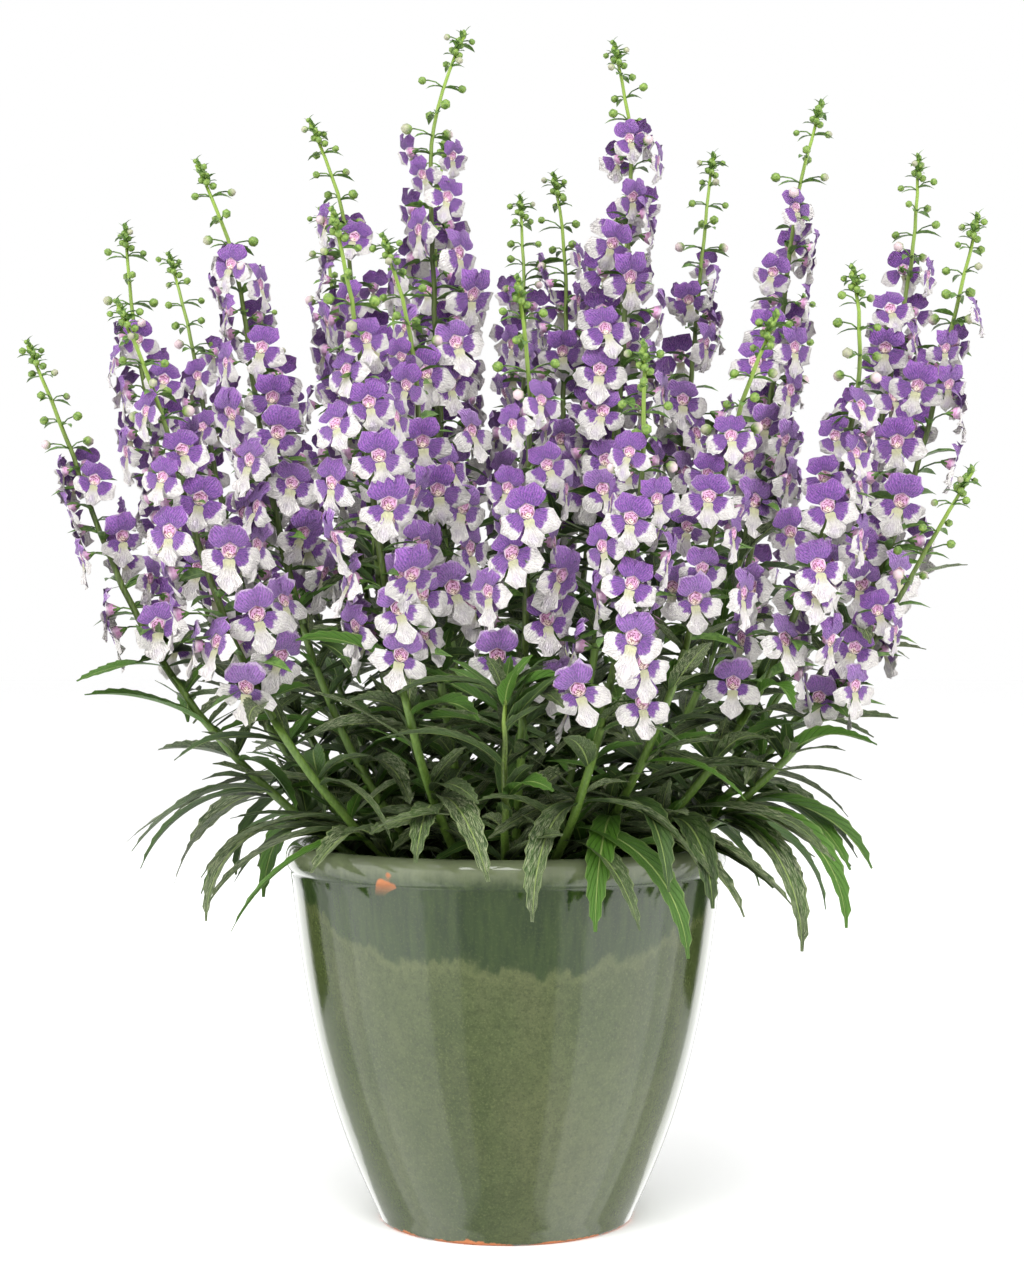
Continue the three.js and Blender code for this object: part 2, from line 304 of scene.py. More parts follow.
# %% [markdown]
# ## Where the stems run
#
# Every stem leaves the soil near the pot's middle and curves outwards. All stems share one widening
# with height, as rods in a loosely held bundle do, so they never cross. A stem's own line follows from
# the foot and the tip of its flower spike in the frame.

# %% The stems' lines
SOIL_CROWN = 3 * MM
SOIL_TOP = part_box("soil")[1].z - SOIL_CROWN
FLARE_AMOUNT = 2.838
FLARE_HEIGHT = 95 * MM
STEADY_SPREAD = 2.6
NOD_LENGTH = 75 * MM
SHOOT_RISE = 104 * MM
FIT_GAP = 0.3 * MM


def widening(height):
    """How far the sheaf has widened at a height above the soil, 1 at the soil."""
    return 1 + FLARE_AMOUNT * (1 - math.exp(-height / FLARE_HEIGHT)) + STEADY_SPREAD * height


class Stem:
    def __init__(self, number, foot, tip):
        self.number = number
        self.foot = foot.z - SOIL_TOP
        self.rise = tip.z - SOIL_TOP
        self.base = foot.xy / widening(self.foot)
        self.nod = tip.xy - self.base * widening(self.rise)
        self.outward = math.atan2(self.base.y, self.base.x)

    def at(self, height):
        bend = max(0, (height - self.rise + NOD_LENGTH) / NOD_LENGTH) ** 2
        flat = self.base * widening(height) + self.nod * bend
        return Vector((flat.x, flat.y, SOIL_TOP + height))


def ends(node):
    """The lowest and the highest corner of a node's solid."""
    corners = [v.co.copy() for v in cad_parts[node].data.vertices]
    return min(corners, key=lambda c: c.z), max(corners, key=lambda c: c.z)


def shoot_line(number):
    """A young shoot stands straight in the widening sheaf, on the middle of its cut foot."""
    cut = SOIL_TOP + SOIL_CROWN + FIT_GAP
    corners = [v.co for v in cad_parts[f"leafy_shoot_{number}"].data.vertices]
    ring = [c for c in corners if abs(c.z - cut) < 0.1 * MM]
    foot = sum(ring, Vector()) / len(ring)
    top = foot.xy * widening(SHOOT_RISE) / widening(cut - SOIL_TOP)
    return Stem(number, foot, Vector((top.x, top.y, SOIL_TOP + SHOOT_RISE)))


spike_count = sum(name.startswith("flower_spike_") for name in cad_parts)
stems = [Stem(i, *ends(f"flower_spike_{i:02d}")) for i in range(1, spike_count + 1)]
shoots = [shoot_line(1), shoot_line(2)]
print(len(stems), "stems, the tallest", round(max(s.rise for s in stems), 3), "m above the soil")

# %% [markdown]
# ## The planter
#
# The planter was thrown on a wheel and dipped in glaze. A spun profile is the same idea: the outline of
# one side, turned once round the axis. The wall bulges a little, the lip is rolled outwards, and the
# foot has a softened edge and a drain hole.

# %% Planter
RIM_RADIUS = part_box("pot")[1].x
POT_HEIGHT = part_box("pot")[1].z
LIP_HEIGHT = 15 * MM
LIP_PROUD = 2.5 * MM
BELLY = 9 * MM
FOOT_RADIUS = 62 * MM
FOOT_EDGE = 3 * MM
WALL = 9 * MM
FLOOR = 12 * MM
DRAIN_RADIUS = 10 * MM
POT_STEPS = 120
BODY_TOP = POT_HEIGHT - LIP_HEIGHT
INNER_TOP = BODY_TOP - 6 * MM


def wall_radius(z):
    """Outer radius of the wall below the lip."""
    t = max(0, z / BODY_TOP)
    straight = FOOT_RADIUS + (RIM_RADIUS - LIP_PROUD - FOOT_RADIUS) * t
    return straight + BELLY * math.sin(math.pi * t ** 0.85)


def arc(centre, radii, start, end, steps):
    turns = [math.radians(start + (end - start) * i / steps) for i in range(steps + 1)]
    return [(centre[0] + radii[0] * math.cos(a), centre[1] + radii[1] * math.sin(a)) for a in turns]


def pot_outline():
    lip_depth = WALL + LIP_PROUD
    lip_centre = (RIM_RADIUS - lip_depth / 2, BODY_TOP + LIP_HEIGHT / 2)
    corner = (wall_radius(FOOT_EDGE) - FOOT_EDGE, FOOT_EDGE)
    outer = [FOOT_EDGE + (BODY_TOP - FOOT_EDGE) * i / 30 for i in range(1, 31)]
    inner = [INNER_TOP - (INNER_TOP - FLOOR) * i / 12 for i in range(13)]
    return [
        (DRAIN_RADIUS, 0),
        *arc(corner, (FOOT_EDGE, FOOT_EDGE), -90, 0, 4),
        *[(wall_radius(z), z) for z in outer],
        *arc(lip_centre, (lip_depth / 2, LIP_HEIGHT / 2), -60, 210, 22),
        *[(wall_radius(z) - WALL, z) for z in inner],
        (DRAIN_RADIUS, FLOOR),
    ]


def spun(outline, steps, closed):
    """Turns an outline of (radius, height) points once round the Z axis."""
    bm = bmesh.new()
    corners = [bm.verts.new((r, 0, z)) for r, z in outline]
    edges = [bm.edges.new(pair) for pair in zip(corners, corners[1:])]
    if closed:
        edges.append(bm.edges.new((corners[-1], corners[0])))
    bmesh.ops.spin(
        bm, geom=corners + edges, cent=(0, 0, 0), axis=(0, 0, 1),
        angle=2 * math.pi, steps=steps, use_merge=True,
    )
    bmesh.ops.remove_doubles(bm, verts=bm.verts, dist=0.01 * MM)
    bmesh.ops.recalc_face_normals(bm, faces=bm.faces)
    return bm


# %% [markdown]
# The glaze is a mottled olive green with fine speckles. A second, darker dip covers the top. It ran down
# in streaks while it was molten and stopped at a ragged line, lowest at the front and back, with a faint
# pale line along it. The dark band is only partly this glaze: it is also painted shade, which stands in
# for the dark reflection under the plant's overhang. The lip's crest is paler, partly where the glaze is
# thin and partly as a painted highlight. Where the glaze is chipped, and on the foot, the orange clay
# shows.

# %% Glaze
def glaze():
    paint = Paint("green_glaze", IOR=1.52)
    place = paint.position()
    x, _, z = paint.split(place)
    cloud = paint.noise(place, 14, 4, 0.6)
    broad = paint.noise(paint.stretched(place, 1, 1, 0.3), 16, 1, 0.4)
    ragged = paint.noise(paint.stretched(place, 1, 1, 0.6), 75, 3, 0.65)
    drift = paint.noise(paint.stretched(place, 1, 1, 0.35), 34, 3, 0.55)
    speckle = paint.noise(place, 900, 2, 0.7)
    grain = paint.noise(place, 260, 3, 0.65)
    streak = paint.noise(paint.stretched(place, 1, 1, 0.06), 240, 3, 0.6)
    sage = paint.mix(cloud.rise(0.35, 0.65), rgb("36431c"), rgb("46502c"))
    sage = paint.mix(drift.rise(0.4, 0.7) * 0.6, sage, rgb("4e5333"))
    sage = paint.mix(grain.rise(0.35, 0.75) * 0.5, sage, rgb("2b3615"))
    sage = paint.mix(speckle.rise(0.52, 0.72) * 0.5, sage, rgb("5b633a"))
    sage = paint.mix(speckle.rise(0.46, 0.3) * 0.45, sage, rgb("202a13"))
    # The top band's colour: partly a darker, streaky glaze and partly painted shade for the dark
    # reflection under the plant's overhang.
    top_glaze_and_shade = paint.mix(streak.rise(0.25, 0.8), rgb("1e2f12"), rgb("30411a"))
    top_glaze_and_shade = paint.mix(speckle.rise(0.5, 0.7) * 0.3, top_glaze_and_shade, rgb("475326"))
    # Where the band ends: a ragged line, lowest at the front and back.
    band_level = z - x * x * 3.2 + (broad - 0.5) * 0.035 + (ragged - 0.5) * 0.024 + (streak - 0.5) * 0.01
    colour = paint.mix(band_level.rise(0.130, 0.137), sage, top_glaze_and_shade)
    fringe = band_level.away_from(0.131).rise(0.004, 0.001)
    colour = paint.mix(fringe * 0.15, colour, rgb("6c7248"))
    # The crest is paler: partly thin glaze and partly a painted highlight along the lip.
    crest_and_highlight = (z + (grain - 0.5) * 0.004 + (streak - 0.5) * 0.003).rise(0.173, 0.183)
    colour = paint.mix(crest_and_highlight * 0.6, colour, rgb("7e8568"))
    chip = paint.noise(place, 42, 2, 0.5).rise(0.68, 0.7) * z.rise(0.168, 0.178)
    bare = ((z + (drift - 0.5) * 0.009 + (grain - 0.5) * 0.003).rise(0.0014, 0.0006)).highest(chip)
    clay = paint.mix(grain, rgb("a85a2c"), rgb("c98354"))
    colour = paint.mix(bare, colour, clay)
    gloss = bare * 0.6 + speckle * 0.06 + 0.08
    return paint.finish(colour, gloss, cloud * 0.7 + grain * 0.12, 0.25, 0.001)


pot = add_piece("glazed_pot", spun(pot_outline(), POT_STEPS, True), [glaze()], ["pot"])
print("planter:", len(pot.data.polygons), "faces")

# %% [markdown]
# ## The soil
#
# Potting soil is crumbs of peat with bits of bark and white perlite. Its body is spun like the pot, its
# top is roughened with noise, and a few hundred small lumps lie half sunk in it.

# %% Soil
SOIL_GAP = 1.2 * MM
CROWN_RADIUS = 66 * MM
CROWN_EDGE = 95 * MM
SOIL_RINGS = 30
LUMPS = 420
LUMP_SPREAD = 94 * MM


def soil_height(x, y):
    """Height of the rough soil surface at a place."""
    r = math.hypot(x, y)
    crown = SOIL_CROWN * (1 - smooth_step(CROWN_RADIUS, CROWN_EDGE, r))
    coarse = noise.noise(Vector((x, y, 0)) / (7 * MM)) * 1.1
    fine = noise.noise(Vector((x, y, 9)) / (3 * MM)) * 0.7
    return SOIL_TOP + crown + (coarse + fine - 0.9) * MM


def soil_body():
    rim = wall_radius(SOIL_TOP) - WALL - SOIL_GAP
    top = [(rim * i / SOIL_RINGS, SOIL_TOP) for i in range(SOIL_RINGS + 1)]
    deep = [SOIL_TOP * 0.6, FLOOR + 0.4 * MM]
    sides = [(wall_radius(z) - WALL - SOIL_GAP, z) for z in deep]
    bm = spun([*top, *sides, (0, deep[-1])], 90, False)
    for vert in bm.verts:
        if abs(vert.co.z - SOIL_TOP) < 0.01 * MM:
            vert.co.z = soil_height(vert.co.x, vert.co.y)
    return bm


def scatter_lumps(bm):
    dice = random.Random(11)
    for i in range(LUMPS):
        r = LUMP_SPREAD * math.sqrt(dice.random())
        turn = dice.uniform(0, 2 * math.pi)
        x, y = r * math.cos(turn), r * math.sin(turn)
        perlite = i % 6 == 0
        size = dice.uniform(1.0, 1.9) * MM if perlite else dice.uniform(1.2, 3.6) * MM
        squash = (1, 1, 0.85) if perlite else (1, dice.uniform(0.4, 0.8), 0.45)
        spot = Matrix.Translation((x, y, soil_height(x, y)))
        spin = Matrix.Rotation(dice.uniform(0, 6.28), 4, "Z")
        tilt = spin @ Matrix.Rotation(dice.uniform(-0.4, 0.4), 4, "X")
        shape = Matrix.Diagonal((*squash, 1)) @ Matrix.Scale(size, 4)
        lump = bmesh.ops.create_icosphere(bm, subdivisions=1, radius=1, matrix=spot @ tilt @ shape)
        for face in {f for vert in lump["verts"] for f in vert.link_faces}:
            face.material_index = 2 if perlite else 1


def earth(name, top_glaze_and_shade, light, roughness):
    paint = Paint(name, Roughness=roughness)
    place = paint.position()
    crumb = paint.noise(place, 420, 4, 0.7)
    clump = paint.noise(place, 90, 3, 0.6)
    colour = paint.mix(crumb.rise(0.3, 0.7), rgb(top_glaze_and_shade), rgb(light))
    colour = paint.mix(clump.rise(0.45, 0.7) * 0.5, colour, rgb(top_glaze_and_shade))
    return paint.finish(colour, None, crumb, 0.8, 0.002)


soil_mesh = soil_body()
scatter_lumps(soil_mesh)
soil_finishes = [
    earth("damp_peat", "120c08", "3a2a1e", 0.95),
    earth("bark_chips", "2a1a10", "6b4a30", 0.85),
    earth("perlite", "b9b4a8", "efece4", 0.8),
]
soil = add_piece("potting_soil", soil_mesh, soil_finishes, ["soil"])
print("soil:", len(soil.data.polygons), "faces")

# %% [markdown]
# ## Leaf and stem greens
#
# A leaf is dark green with a pale midrib and fine side veins. Short hairs roughen the older leaves, and
# their silvery sheen is painted into the colour as pale grey-green streaks. The youngest are bright
# green. The leaf's map tells the shader where the midrib is.

# %% Leaf green
def leaf_green():
    paint = SheetPaint("leaf_green", IOR=1.42)
    off_middle = paint.across.away_from(0.5)
    along = paint.along
    fibre = paint.noise(paint.stretched(paint.place, 11, 3, 1), 22, 3, 0.6)
    blotch = paint.noise(paint.place, 34, 3, 0.6)
    hair = paint.noise(paint.stretched(paint.place, 6, 3, 1), 44, 4, 0.75)
    veins = ((along * 11 - off_middle * 5).fract()).away_from(0.5).rise(0.14, 0.02)
    colour = paint.mix(blotch.rise(0.3, 0.7), rgb("1c3210"), rgb("3a551f"))
    colour = paint.mix(paint.tone.rise(0.62, 0.95), colour, rgb("466f1c"))
    # Painted sheen: pale grey-green streaks where the hairs lie on the older leaves.
    painted_sheen = hair.rise(0.46, 0.6) * paint.tone.rise(0.8, 0.1) * along.rise(0.0, 0.4)
    colour = paint.mix(painted_sheen * 0.75, colour, rgb("adb28e"))
    colour = paint.mix(fibre.rise(0.5, 0.75) * 0.35, colour, rgb("5f7a3c"))
    colour = paint.mix(veins * 0.35, colour, rgb("16290c"))
    midrib = off_middle.rise(0.05, 0.02)
    colour = paint.mix(midrib * 0.75, colour, rgb("93a85e"))
    edge = off_middle.rise(0.44, 0.5)
    colour = paint.mix(edge * 0.4, colour, rgb("8a9a5e"))
    ridge = fibre * 0.5 + hair * 0.6 - veins * 0.6 - midrib * 0.9
    return paint.finish(colour, 0.3 + hair * 0.35, ridge, 0.7, 0.001)


# %% Stem green
def stem_green():
    paint = SheetPaint("stem_green", Roughness=0.45)
    place = paint.position()
    rib = paint.noise(paint.stretched(place, 1, 1, 0.08), 900, 2, 0.5)
    age = paint.along + (paint.noise(place, 60, 2, 0.5) - 0.5) * 0.12
    colour = paint.mix(age.rise(0.25, 0.55), rgb("4f6a26"), rgb("43521f"))
    colour = paint.mix(age.rise(0.72, 0.95), colour, rgb("7f9a38"))
    colour = paint.mix(rib.rise(0.4, 0.7) * 0.45, colour, rgb("748f3e"))
    return paint.finish(colour, None, rib, 0.4, 0.0004)


leaf_paint = leaf_green()
stem_paint = stem_green()

# %% [markdown]
# ## Stems
#
# A stem is a chain of rings, each bridged to the next. It is thickest at the soil and thins out towards
# the buds. The map's upright direction runs with the height from the soil to the tip, so that the
# stem's green goes on from its leafy part into its spike.

# %% Stem tube
STEM_SIDES = 7
STEM_STEP = 9 * MM
THICK = 2.3 * MM
THIN = 0.75 * MM


def stem_radius(stem, height):
    share = height / stem.rise
    return THICK + (THIN - THICK) * share ** 1.3


def tube(bm, points, radii, kind, variant, material, sides, span=(0, 1)):
    """A closed tube through points, whose ends lie at the two shares of the map's height in span."""
    uv = map_of(bm)
    rings = []
    for i, (point, radius) in enumerate(zip(points, radii)):
        ahead = points[min(i + 1, len(points) - 1)] - points[max(i - 1, 0)]
        turn = ahead.to_track_quat("Z", "X").to_matrix().to_4x4()
        is_end = i in (0, len(points) - 1)
        ring = bmesh.ops.create_circle(
            bm, segments=sides, radius=radius, cap_ends=is_end,
            matrix=Matrix.Translation(point) @ turn,
        )["verts"]
        rings.append(ring)
    faces = set()
    for low, high in zip(rings, rings[1:]):
        low_edges = {e for v in low for e in v.link_edges if e.other_vert(v) in low}
        high_edges = {e for v in high for e in v.link_edges if e.other_vert(v) in high}
        bridged = bmesh.ops.bridge_loops(bm, edges=[*low_edges, *high_edges])
        faces.update(bridged["faces"])
    shares = [span[0] + (span[1] - span[0]) * i / (len(rings) - 1) for i in range(len(rings))]
    level = {vert: share for share, ring in zip(shares, rings) for vert in ring}
    side = {vert: j / sides for ring in rings for j, vert in enumerate(ring)}
    faces.update(face for ring in (rings[0], rings[-1]) for v in ring for face in v.link_faces)
    for face in faces:
        face.material_index = material
        for loop in face.loops:
            loop[uv].uv = cell_place(kind, variant, side[loop.vert], level[loop.vert])


def stem_tube(bm, stem, low, high, material):
    count = max(3, round((high - low) / STEM_STEP))
    heights = [low + (high - low) * i / count for i in range(count + 1)]
    wobble = random.Random(stem.number)
    points = []
    for height in heights:
        sway = Vector((wobble.uniform(-1, 1), wobble.uniform(-1, 1), 0)) * 0.35 * MM
        points.append(stem.at(height) + sway)
    radii = [stem_radius(stem, height) for height in heights]
    span = (low / stem.rise, high / stem.rise)
    tube(bm, points, radii, STEM, stem.number % VARIANTS, material, STEM_SIDES, span)


# %% [markdown]
# ## Leaves
#
# A leaf is a lance-shaped sheet. It leaves the stem upwards, then its own weight bends it down and a
# little aside. Its two halves fold up from the midrib and its edge is toothed. Each leaf gets a shape of
# its own from a grid, and is only kept if its line clears the pot.

# %% One leaf
LEAF_COLUMNS = 4
LEAF_ROWS = 19
SMALL_LEAF = 50 * MM
SMALL_LEAF_ROWS = 9
LEAF_ROOM = 3.5 * MM
TOOTH = 0.13


def leaf_line(root, azimuth, length, lift, droop, sweep, rows):
    """The midrib's points, with the directions that point up from and across the blade at each."""
    points, normals, sides, point = [], [], [], root.copy()
    for i in range(rows + 1):
        tilt = lift - droop * (i / rows) ** 0.9
        way = azimuth + sweep * i / rows
        out = level_way(way)
        points.append(point.copy())
        normals.append(UP * math.cos(tilt) - out * math.sin(tilt))
        sides.append(UP.cross(out))
        point += (out * math.cos(tilt) + UP * math.sin(tilt)) * length / rows
    return points, normals, sides


def clears_pot(points, room):
    """False if a point lies in the pot's wall or in the soil, or within room of them."""
    for point in points:
        r = point.xy.length
        wall = wall_radius(min(point.z, BODY_TOP))
        lip = RIM_RADIUS if point.z > BODY_TOP - room else 0
        above = point.z > POT_HEIGHT + room
        in_mouth = r < wall - WALL - room and point.z > SOIL_TOP + room
        outside = r > max(wall, lip) + room
        if not (above or in_mouth or outside):
            return False
    return True


def leaf_width(t):
    """Half width of the blade along its length, as a share of the widest."""
    return max(0.12 * (1 - t), math.sin(math.pi * t ** 0.78) ** 0.85) if 0 < t < 1 else 0.14 * (1 - t)


def add_leaf(bm, root, azimuth, length, width, lift, droop, dice):
    """Adds a leaf that clears the pot, drooping less if it must. Tells whether it found room."""
    rows = LEAF_ROWS if length > SMALL_LEAF else SMALL_LEAF_ROWS
    sweep = dice.uniform(-0.35, 0.35)
    for ease in (1, 0.75, 0.5, 0.25, 1.3):
        points, normals, sides = leaf_line(root, azimuth, length, lift, droop * ease, sweep, rows)
        if clears_pot(points[2:], LEAF_ROOM):
            break
    else:
        return False
    fold = dice.uniform(0.15, 0.6)
    twist = dice.uniform(-0.9, 0.9)
    wave = dice.uniform(0, 6.28)

    def blade(a, t):
        row = round(t * rows)
        jut = smooth_step(0.1, 0.25, t) * (abs(a) > 0.9) * (row % 2)
        reach = a * width / 2 * (leaf_width(t) + TOOTH * jut)
        onward = (points[min(row + 1, rows)] - points[row]) * 0.4 * jut
        roll = twist * t
        up = abs(reach) * fold + 0.6 * MM * math.sin(wave + 9 * t) * abs(a) * leaf_width(t)
        across = sides[row] * math.cos(roll) + normals[row] * math.sin(roll)
        normal = normals[row] * math.cos(roll) - sides[row] * math.sin(roll)
        return points[row] + onward + across * reach + normal * up

    sheet(bm, LEAF_COLUMNS, rows, LEAF, dice.randrange(VARIANTS), 0, blade)
    return True


# %% [markdown]
# Leaves stand in pairs, each pair crossing the one below. Between a leaf and its stem sits a tuft of
# smaller leaves, which makes the plant bushy. The outermost stems send some long leaves over the rim.

# %% Leaves of one stem
PAIR_PITCH = 14 * MM
LEAF_LENGTH = 80 * MM
LEAF_WIDTH = 12.5 * MM
LOWEST_PAIR = 16 * MM
OUTER_STEM = 36 * MM
RIM_LEAF_TURNS = (-40, -16, 12, 38)


def grow_leaves(bm, stem, top, dice):
    count = 0
    pairs = max(3, round((top - LOWEST_PAIR) / PAIR_PITCH))
    for pair in range(pairs):
        share = pair / (pairs - 1)
        height = LOWEST_PAIR + (top - LOWEST_PAIR) * share
        azimuth = stem.outward + math.radians(90 * (pair % 2) + 20 * (stem.number % 5))
        for turn in (0, math.pi):
            way = azimuth + turn + dice.uniform(-0.45, 0.45)
            length = LEAF_LENGTH * (1.02 - 0.35 * share) * dice.uniform(0.8, 1.12)
            lift = math.radians(dice.uniform(8, 50))
            droop = math.radians(dice.uniform(25, 90) * (1 - 0.2 * share))
            width = LEAF_WIDTH * dice.uniform(0.75, 1.05) * (1 - 0.15 * share)
            count += add_leaf(bm, stem.at(height), way, length, width, lift, droop, dice)
            for _ in range(dice.choice((1, 2, 2))):
                small = length * dice.uniform(0.35, 0.65)
                aside = way + dice.uniform(-0.9, 0.9)
                steep = math.radians(dice.uniform(25, 65))
                root = stem.at(height + 2 * MM)
                count += add_leaf(bm, root, aside, small, width * 0.6, steep, droop * 0.6, dice)
    return count


def grow_rim_leaves(bm, stem, dice):
    count = 0
    if stem.base.length < OUTER_STEM:
        return count
    for turn in RIM_LEAF_TURNS:
        way = stem.outward + math.radians(turn + dice.uniform(-8, 8))
        length = LEAF_LENGTH * dice.uniform(0.95, 1.2)
        lift = math.radians(dice.uniform(0, 28))
        droop = math.radians(dice.uniform(55, 110))
        height = (30 + dice.uniform(-6, 18)) * MM
        count += add_leaf(bm, stem.at(height), way, length, LEAF_WIDTH * 1.05, lift, droop, dice)
    return count


leaf_total = 0
for stem in stems:
    dice = random.Random(200 + stem.number)
    stem_mesh = bmesh.new()
    leaf_total += grow_leaves(stem_mesh, stem, stem.foot - 4 * MM, dice)
    leaf_total += grow_rim_leaves(stem_mesh, stem, dice)
    bmesh.ops.remove_doubles(stem_mesh, verts=stem_mesh.verts, dist=WELD)
    stem_tube(stem_mesh, stem, 0, stem.foot, 1)
    name = f"stem_and_leaves_{stem.number:02d}"
    add_piece(name, stem_mesh, [leaf_paint, stem_paint], [f"leafy_stem_{stem.number:02d}"])
print("leaves:", leaf_total)

# %% Young shoots
CROWN_LEAVES = 12

for shoot in shoots:
    dice = random.Random(300 + shoot.number)
    shoot_mesh = bmesh.new()
    grown = grow_leaves(shoot_mesh, shoot, SHOOT_RISE - 6 * MM, dice)
    for i in range(CROWN_LEAVES):
        length = (38 - 2 * i) * MM
        root = shoot.at(SHOOT_RISE - (CROWN_LEAVES - i) * MM)
        steep = math.radians(40 + 3 * i)
        grown += add_leaf(shoot_mesh, root, i * SPIRAL, length, length * 0.24, steep, 0.5, dice)
    bmesh.ops.remove_doubles(shoot_mesh, verts=shoot_mesh.verts, dist=WELD)
    stem_tube(shoot_mesh, shoot, 0, SHOOT_RISE, 1)
    name = f"young_shoot_{shoot.number}"
    add_piece(name, shoot_mesh, [leaf_paint, stem_paint], [f"leafy_shoot_{shoot.number}"])
    print(name, "with", grown, "leaves")

# %% [markdown]
# ## Flower colours
#
# An angelonia flower has a hood of two violet lobes, two side lobes that are violet with a white margin,
# and a white lip on a narrow, yellow-green neck. The throat is a pink cup with dark red speckles.

# %% Petal paints
def petal(name, inner, inner_deep, margin, edge, ragged):
    """Petal paint: the inner colour gives way to the margin at a share of the petal's length."""
    paint = SheetPaint(name, Roughness=0.5, Sheen_Weight=0.25)
    fibre = paint.noise(paint.stretched(paint.place, 10, 4, 1), 14, 3, 0.6)
    blotch = paint.noise(paint.place, 38, 3, 0.6)
    grain = paint.noise(paint.place, 100, 3, 0.7)
    off_middle = paint.across.away_from(0.5)
    vein = (paint.across * 9 + fibre * 1.8).fract().away_from(0.5).rise(0.34, 0.06)
    light = fibre.rise(0.38, 0.62) * 0.4 + grain.rise(0.4, 0.6) * 0.35 + paint.along * 0.5 - vein * 0.45
    colour = paint.mix(light, rgb(inner_deep), rgb(inner))
    reach = paint.along + (blotch - 0.5) * ragged + off_middle * off_middle * 0.7
    limit = edge + (paint.tone - 0.5) * 0.36
    fade = (reach - limit).rise(-0.06, 0.1)
    # Grey-lavender patches on the pale margin: partly a faint tint and partly painted shade.
    shade_and_tint = blotch.rise(0.6, 0.36) * 0.35 + fibre.rise(0.6, 0.4) * 0.25
    pale = paint.mix(shade_and_tint, rgb(margin), rgb("cec4ca"))
    colour = paint.mix(fade, colour, pale)
    crinkle = fibre * 0.7 + blotch + grain * 0.3 - vein * 0.5
    return paint, colour, crinkle


def hood_petal():
    paint, colour, crinkle = petal("hood_violet", "a560c4", "521983", "d2b4de", 1.02, 0.5)
    faded = paint.mix(paint.tone.rise(0.6, 0.0) * 0.2, colour, rgb("cfb0e0"))
    return paint.finish(faded, None, crinkle, 0.9, 0.002)


def wing_petal():
    paint, colour, crinkle = petal("side_lobe_violet_and_white", "a560c2", "561e85", "f8f4ee", 0.52, 0.5)
    return paint.finish(colour, None, crinkle, 0.9, 0.002)


def lip_petal():
    paint, colour, crinkle = petal("white_lip", "f7f3ea", "e9e1df", "f8f4ee", 0.6, 0.3)
    stain = paint.along.away_from(0.68).rise(0.3, 0.05) * paint.across.away_from(0.5).rise(0.3, 0.05)
    colour = paint.mix(stain * paint.tone * 0.5, colour, rgb("b79bd0"))
    colour = paint.mix(paint.along.rise(0.42, 0.1) * 0.75, colour, rgb("dcdc9c"))
    return paint.finish(colour, None, crinkle, 0.9, 0.002)


def throat_cup():
    """A pink tube behind and a speckled dome in front, with a pale ring where the two meet."""
    paint = SheetPaint("speckled_throat", Roughness=0.5)
    spots = paint.cells(paint.stretched(paint.place, 1, 1.6, 1), 90)
    mottle = paint.noise(paint.place, 60, 3, 0.6)
    low_side = paint.across.away_from(0.5).rise(0.2, 0.06)
    colour = paint.mix(mottle.rise(0.35, 0.65), rgb("c283ae"), rgb("dcb0d2"))
    colour = paint.mix(paint.along.away_from(0.5).rise(0.16, 0.02), colour, rgb("ecd2e2"))
    front = paint.along.rise(0.5, 0.62)
    colour = paint.mix(front * low_side * 0.6, colour, rgb("e6e2b4"))
    colour = paint.mix(front * spots.rise(0.56, 0.34), colour, rgb("641836"))
    return paint.finish(colour, None, mottle, 0.6, 0.0008)


# %% Greens of the spike
def sepal_green():
    paint = SheetPaint("sepal_green", Roughness=0.5)
    place = paint.position()
    mottle = paint.noise(place, 500, 2, 0.6)
    colour = paint.mix(mottle.rise(0.3, 0.7), rgb("39591f"), rgb("63863a"))
    colour = paint.mix(paint.across.away_from(0.5).rise(0.06, 0.02) * 0.5, colour, rgb("8fae5c"))
    return paint.finish(colour, None, mottle, 0.4, 0.0003)


def bud_green():
    paint = SheetPaint("bud_green", Roughness=0.45)
    mottle = paint.noise(paint.position(), 700, 2, 0.6)
    colour = paint.mix(mottle.rise(0.3, 0.7), rgb("4c6c24"), rgb("7d9740"))
    ripe = paint.tone.rise(0.45, 0.7) * paint.along.rise(0.2, 0.75)
    colour = paint.mix(ripe * 0.8, colour, rgb("d3b7c4"))
    return paint.finish(colour, None, mottle, 0.3, 0.0003)


spike_paints = [
    hood_petal(), wing_petal(), lip_petal(), throat_cup(), sepal_green(), bud_green(), stem_paint,
]
STEM_SLOT = spike_paints.index(stem_paint)

# %% [markdown]
# ## One flower
#
# Each lobe is a small grid drawn out from the throat's rim. Its half widths are listed from its neck to
# its end, and every corner is frilled a little more the further out it lies. Eight flowers are made,
# each with its own frill and its own row of the map. They face towards -Y with the calyx at the origin.

# %% Flower shapes
CUP_DEPTH = 6.0  # this and the sizes below in millimetres
CUP_RADIUS = 3.4
PETAL_ROWS = 4
HOOD_LOBE = {
    "kind": HOOD, "columns": 3, "length": 9.2, "lean": 2.2, "halves": (3.3, 4.9, 5.7, 5.7, 4.2),
}
WING_LOBE = {
    "kind": WING, "columns": 3, "length": 10.8, "lean": 1.6, "halves": (2.5, 4.2, 5.4, 5.8, 4.2),
}
LIP_LOBE = {
    "kind": LIP, "columns": 4, "length": 13.4, "lean": -0.8, "halves": (2.6, 2.3, 3.7, 5.7, 4.3),
}
LOBES = [  # each with its turn from upright, in degrees
    (HOOD_LOBE, 29), (HOOD_LOBE, -29), (WING_LOBE, 121), (WING_LOBE, -121), (LIP_LOBE, 180),
]


